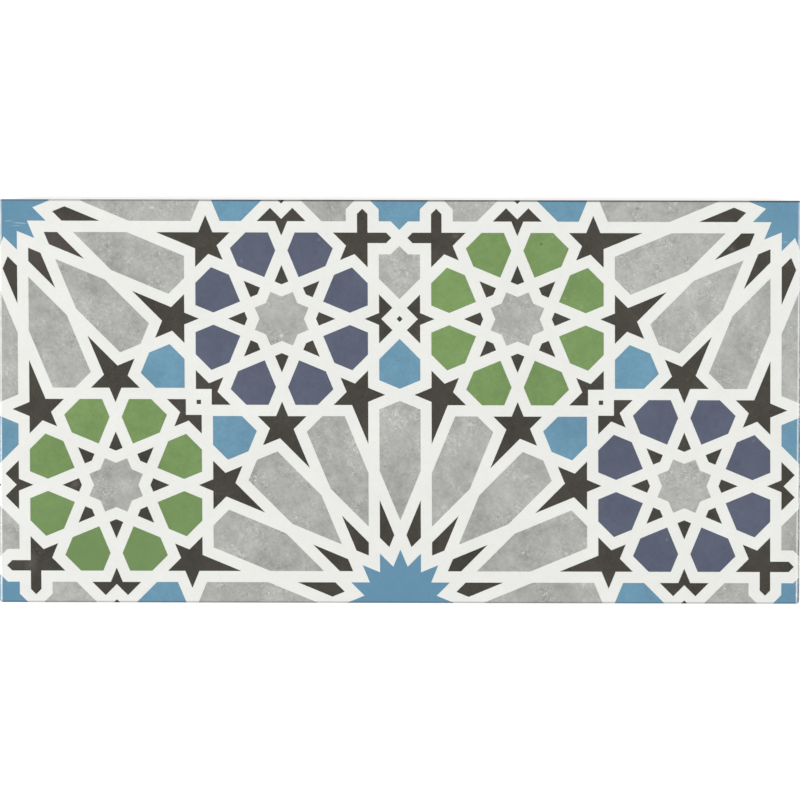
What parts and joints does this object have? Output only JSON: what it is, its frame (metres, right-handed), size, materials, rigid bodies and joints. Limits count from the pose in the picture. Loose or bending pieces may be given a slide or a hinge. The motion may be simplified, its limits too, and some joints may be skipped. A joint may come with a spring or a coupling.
{
  "type": "patterned wall tile",
  "caption": "Flat glazed ceramic wall tile, about two to one, with a printed star and rosette strapwork face, cushioned face edges and a keyed back for adhesive bedding.",
  "frame": {"origin": "middle of the back, in the plane of the rib tops that the tile rests on", "axes": "+X along the long side, +Y along the short side towards the pattern's upper edge, +Z out of the printed face"},
  "size_m": [0.298, 0.15, 0.008],
  "materials": {
    "glazed_tile": "satin"
  },
  "bodies": {
    "root": {"tile": "glazed_tile"}
  },
  "joints": []
}
